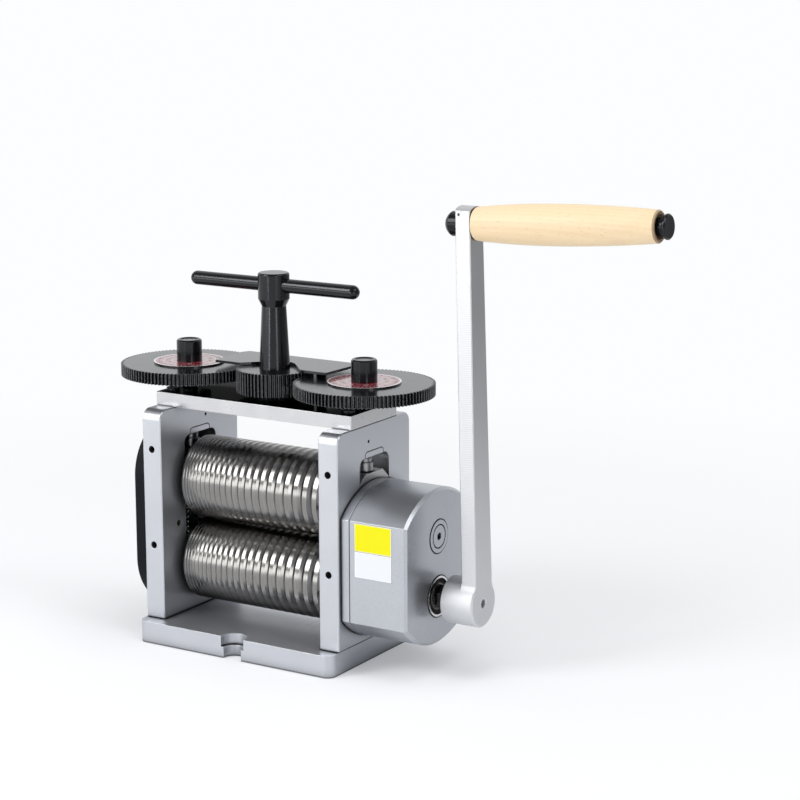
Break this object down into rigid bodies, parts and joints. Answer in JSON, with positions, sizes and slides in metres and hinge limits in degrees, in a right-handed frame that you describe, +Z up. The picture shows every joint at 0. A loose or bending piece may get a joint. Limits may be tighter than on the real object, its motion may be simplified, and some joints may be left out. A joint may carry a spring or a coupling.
{
  "type": "hand-cranked jewellers rolling mill",
  "caption": "Bench rolling mill with grooved wire rolls between two cheeks, T-handle screw-down gears, reduction gearbox and a long crank with a wooden grip.",
  "frame": {"origin": "centre of the base plate's underside", "axes": "+X along the rolls towards the crank, -Y the feed side, +Z up"},
  "size_m": [0.3506, 0.094, 0.2714],
  "materials": {
    "frame_steel": "satin, bead-blasted",
    "gearbox_silver": "fine satin",
    "top_plate_steel": "ground",
    "roll_steel": "hardened and polished",
    "bright_steel": "ground",
    "black_steel": "black oxide, semi-gloss",
    "bronze": "machined bearing bronze",
    "arm_silver": "satin, finely machined",
    "cover_plastic": "moulded, semi-gloss",
    "seal_rubber": "matt",
    "dial_face": "printed, gloss",
    "beech": "turned, clear sealed",
    "yellow_film": "blank, printed film",
    "white_film": "blank, printed film"
  },
  "bodies": {
    "frame": {"base_plate": "frame_steel", "base_screws": "bright_steel", "left_cheek": "frame_steel", "right_cheek": "frame_steel", "top_plate": "top_plate_steel", "top_plate_screws": "black_steel", "pressure_nuts": "bright_steel", "lower_left_block": "bright_steel", "lower_right_block": "bright_steel", "lower_bushes": "bronze", "return_springs": "bright_steel", "gear_cover": "cover_plastic", "cover_screws": "black_steel", "gearbox_flange": "gearbox_silver", "gearbox_housing": "gearbox_silver", "housing_screws": "bright_steel", "layshaft_bushes": "bronze", "layshaft_plug": "gearbox_silver", "crank_bearing": "bright_steel", "shaft_seal": "seal_rubber", "handle_bush": "black_steel", "keeper_plate": "black_steel", "keeper_standoffs": "black_steel", "yellow_label": "yellow_film", "white_label": "white_film"},
    "chocks": {"upper_left_block": "bright_steel", "upper_right_block": "bright_steel", "upper_bushes": "bronze"},
    "upper_roll": {"upper_roll": "roll_steel", "upper_coupling_gear": "bright_steel", "upper_gear_clip": "bright_steel"},
    "lower_roll": {"lower_roll": "roll_steel", "lower_coupling_gear": "bright_steel", "lower_gear_clip": "bright_steel", "final_gear": "bright_steel"},
    "layshaft": {"layshaft": "bright_steel", "layshaft_pinion": "bright_steel", "layshaft_gear": "bright_steel"},
    "crank": {"crank_shaft": "bright_steel", "crank_pinion": "bright_steel", "crank_arm": "arm_silver", "crank_set_screw": "black_steel", "grip_bolt": "black_steel", "grip_cap": "black_steel"},
    "grip": {"wooden_grip": "beech"},
    "handle": {"handle_column": "black_steel", "handle_bar": "black_steel", "handle_pinion": "black_steel"},
    "left_screw": {"left_pressure_screw": "bright_steel", "left_screw_gear": "black_steel", "left_dial": "dial_face", "left_knob": "black_steel"},
    "right_screw": {"right_pressure_screw": "bright_steel", "right_screw_gear": "black_steel", "right_dial": "dial_face", "right_knob": "black_steel"}
  },
  "joints": [
    {"name": "handle_turn", "type": "hinge", "parent": "frame", "child": "handle", "pos_m": [0, 0, 0.157], "axis": [0, 0, 1], "range_deg": [-160, 720]},
    {"name": "chock_slide", "type": "slide", "parent": "frame", "child": "chocks", "axis": [0, 0, 1], "range_m": [-0.00048, 0.00218], "deforming": ["return_springs"]},
    {"name": "left_screw_turn", "type": "hinge", "parent": "chocks", "child": "left_screw", "pos_m": [-0.0615, 0, 0.158], "axis": [0, 0, 1], "range_deg": [-395, 88]},
    {"name": "right_screw_turn", "type": "hinge", "parent": "chocks", "child": "right_screw", "pos_m": [0.0615, 0, 0.158], "axis": [0, 0, 1], "range_deg": [-395, 88]},
    {"name": "crank_turn", "type": "hinge", "parent": "frame", "child": "crank", "pos_m": [0.12, 0, 0.0434], "axis": [1, 0, 0], "continuous": true},
    {"name": "layshaft_turn", "type": "hinge", "parent": "frame", "child": "layshaft", "pos_m": [0.09, 0, 0.0784], "axis": [1, 0, 0], "continuous": true},
    {"name": "lower_roll_turn", "type": "hinge", "parent": "frame", "child": "lower_roll", "pos_m": [0, 0, 0.0434], "axis": [1, 0, 0], "continuous": true},
    {"name": "upper_roll_turn", "type": "hinge", "parent": "chocks", "child": "upper_roll", "pos_m": [0, 0, 0.0934], "axis": [1, 0, 0], "continuous": true},
    {"name": "grip_spin", "type": "hinge", "parent": "crank", "child": "grip", "pos_m": [0.13405, 0, 0.2566], "axis": [0.9986, 0, 0.0523], "continuous": true}
  ],
  "couplings": [
    {"joint": "handle_turn", "follows": "chock_slide", "rad_per_m": 5741.5},
    {"joint": "left_screw_turn", "follows": "chock_slide", "rad_per_m": -3141.6},
    {"joint": "right_screw_turn", "follows": "chock_slide", "rad_per_m": -3141.6},
    {"joint": "layshaft_turn", "follows": "crank_turn", "ratio": -0.48571},
    {"joint": "lower_roll_turn", "follows": "crank_turn", "ratio": 0.29143},
    {"joint": "upper_roll_turn", "follows": "crank_turn", "ratio": -0.29143}
  ]
}
